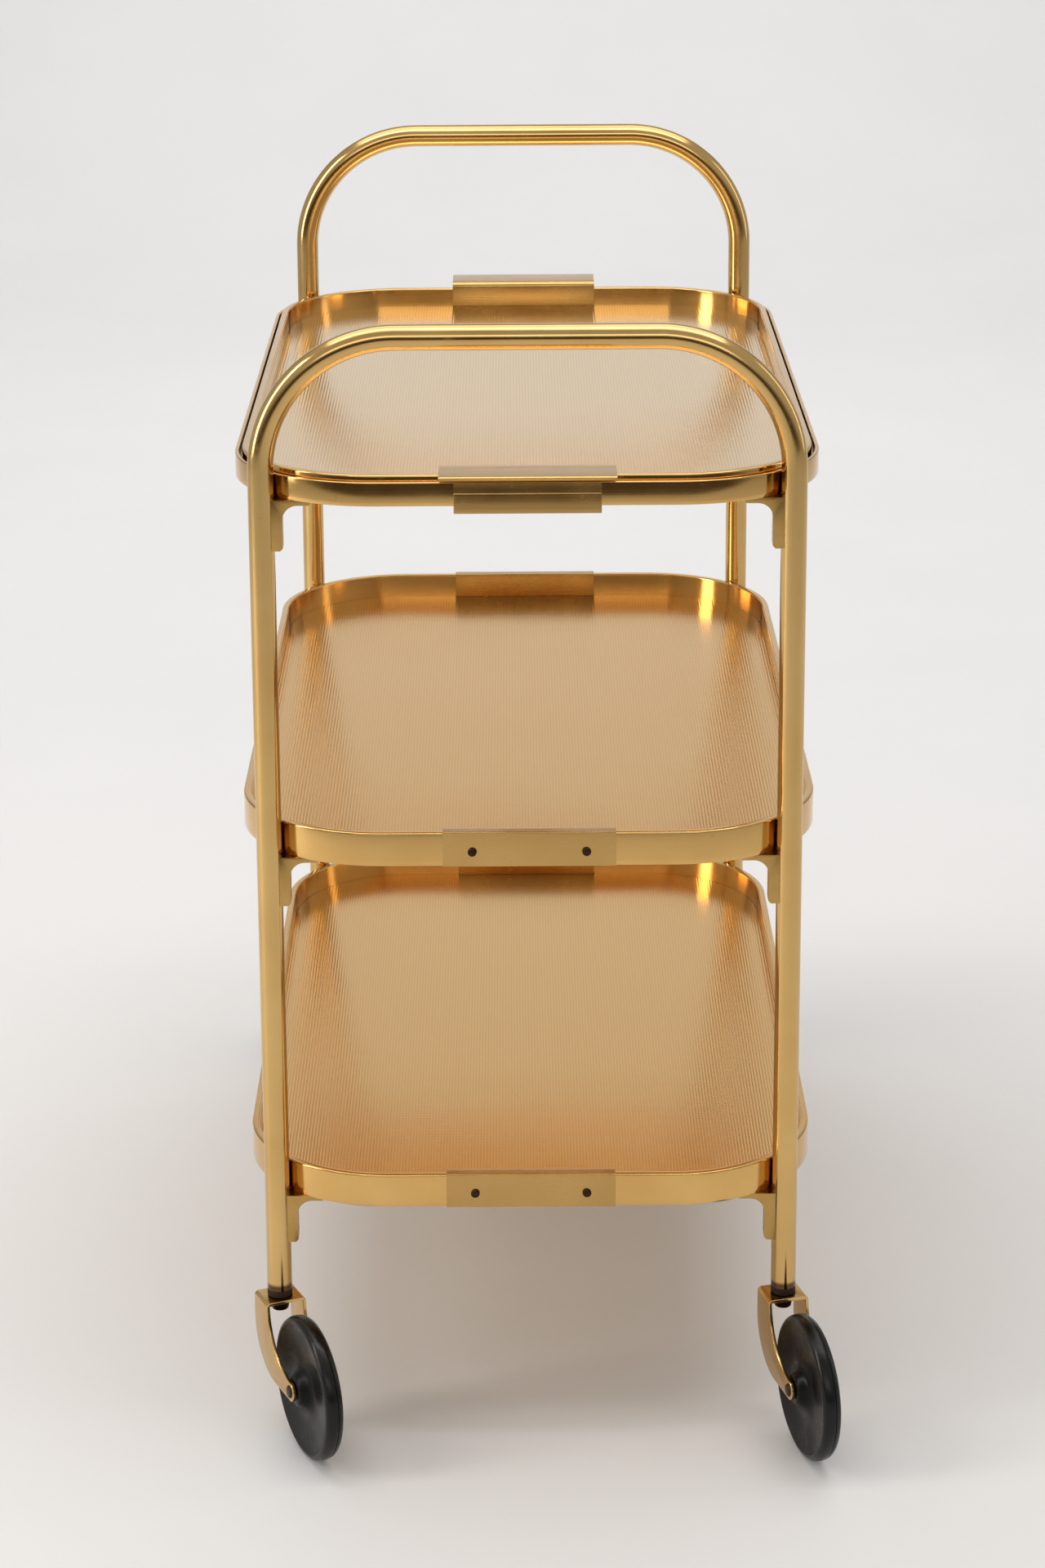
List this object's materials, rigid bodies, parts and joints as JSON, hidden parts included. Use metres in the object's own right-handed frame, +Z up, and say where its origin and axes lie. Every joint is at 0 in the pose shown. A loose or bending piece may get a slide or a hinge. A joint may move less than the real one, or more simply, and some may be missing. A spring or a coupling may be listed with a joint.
{
  "type": "three-tier serving trolley",
  "caption": "Serving trolley with two arched tube end frames, rounded rimmed shelves, a loose top tray with end handles and swivel castors.",
  "frame": {"origin": "on the floor under the middle of the trolley", "axes": "+Z up, +Y along the shelves from the end with the lower handle bar to the end with the higher one, +X across to the right seen from the lower bar"},
  "size_m": [0.4578, 0.8654, 0.9065],
  "materials": {
    "gold_tube": "polished tube, gold anodised",
    "gold_rim_strip": "drawn strip, gold anodised, fine lengthwise polishing",
    "gold_folded_sheet": "folded sheet, satin gold anodised",
    "ribbed_deck_sheet": "finely embossed satin sheet, pale gold anodised",
    "cast_gold_bracket": "die cast, gold lacquered",
    "gold_screw": "plated screw",
    "gold_fork_steel": "pressed sheet steel, gold plated",
    "dark_steel_fixing": "bronzed steel",
    "dark_leg_plug": "moulded plug",
    "black_wheel_centre": "moulded, lightly polished",
    "black_tyre": "solid tyre, worn satin"
  },
  "bodies": {
    "trolley": {"front_left_leg": "gold_tube", "front_left_bend": "gold_tube", "front_bar": "gold_tube", "front_right_bend": "gold_tube", "front_right_leg": "gold_tube", "rear_left_leg": "gold_tube", "rear_left_bend": "gold_tube", "rear_bar": "gold_tube", "rear_right_bend": "gold_tube", "rear_right_leg": "gold_tube", "top_band": "gold_rim_strip", "top_front_plate": "gold_folded_sheet", "top_rear_plate": "gold_folded_sheet", "middle_rim": "gold_rim_strip", "middle_deck": "ribbed_deck_sheet", "middle_front_clip": "gold_folded_sheet", "middle_rear_clip": "gold_folded_sheet", "lower_rim": "gold_rim_strip", "lower_deck": "ribbed_deck_sheet", "lower_front_clip": "gold_folded_sheet", "lower_rear_clip": "gold_folded_sheet", "clip_rivets": "dark_steel_fixing", "top_brackets": "cast_gold_bracket", "middle_brackets": "cast_gold_bracket", "lower_brackets": "cast_gold_bracket", "bracket_screws": "gold_screw", "leg_plugs": "dark_leg_plug", "swivel_pins": "dark_steel_fixing"},
    "tray": {"tray_rim": "gold_rim_strip", "tray_deck": "ribbed_deck_sheet", "tray_front_handle": "gold_folded_sheet", "tray_rear_handle": "gold_folded_sheet"},
    "front_left_castor": {"front_left_fork": "gold_fork_steel", "front_left_axle": "dark_steel_fixing"},
    "front_left_wheel_set": {"front_left_wheel": "black_wheel_centre", "front_left_tyre": "black_tyre"},
    "front_right_castor": {"front_right_fork": "gold_fork_steel", "front_right_axle": "dark_steel_fixing"},
    "front_right_wheel_set": {"front_right_wheel": "black_wheel_centre", "front_right_tyre": "black_tyre"},
    "rear_left_castor": {"rear_left_fork": "gold_fork_steel", "rear_left_axle": "dark_steel_fixing"},
    "rear_left_wheel_set": {"rear_left_wheel": "black_wheel_centre", "rear_left_tyre": "black_tyre"},
    "rear_right_castor": {"rear_right_fork": "gold_fork_steel", "rear_right_axle": "dark_steel_fixing"},
    "rear_right_wheel_set": {"rear_right_wheel": "black_wheel_centre", "rear_right_tyre": "black_tyre"}
  },
  "joints": [
    {"name": "tray_lift", "type": "slide", "parent": "trolley", "child": "tray", "axis": [0, 0, 1], "range_m": [0, 0.03]},
    {"name": "front_left_swivel", "type": "hinge", "parent": "trolley", "child": "front_left_castor", "pos_m": [-0.1925, -0.32502, 0.1], "axis": [0, 0, 1], "continuous": true},
    {"name": "front_left_roll", "type": "hinge", "parent": "front_left_castor", "child": "front_left_wheel_set", "pos_m": [-0.16841, -0.37668, 0.0545], "axis": [0.9063, 0.4226, 0], "continuous": true},
    {"name": "front_right_swivel", "type": "hinge", "parent": "trolley", "child": "front_right_castor", "pos_m": [0.1925, -0.32502, 0.1], "axis": [0, 0, 1], "continuous": true},
    {"name": "front_right_roll", "type": "hinge", "parent": "front_right_castor", "child": "front_right_wheel_set", "pos_m": [0.20821, -0.37981, 0.0545], "axis": [0.9613, 0.2756, 0], "continuous": true},
    {"name": "rear_left_swivel", "type": "hinge", "parent": "trolley", "child": "rear_left_castor", "pos_m": [-0.1925, 0.32502, 0.1], "axis": [0, 0, 1], "continuous": true},
    {"name": "rear_left_roll", "type": "hinge", "parent": "rear_left_castor", "child": "rear_left_wheel_set", "pos_m": [-0.20821, 0.37981, 0.0545], "axis": [-0.9613, -0.2756, 0], "continuous": true},
    {"name": "rear_right_swivel", "type": "hinge", "parent": "trolley", "child": "rear_right_castor", "pos_m": [0.1925, 0.32502, 0.1], "axis": [0, 0, 1], "continuous": true},
    {"name": "rear_right_roll", "type": "hinge", "parent": "rear_right_castor", "child": "rear_right_wheel_set", "pos_m": [0.16841, 0.37668, 0.0545], "axis": [-0.9063, -0.4226, 0], "continuous": true}
  ]
}
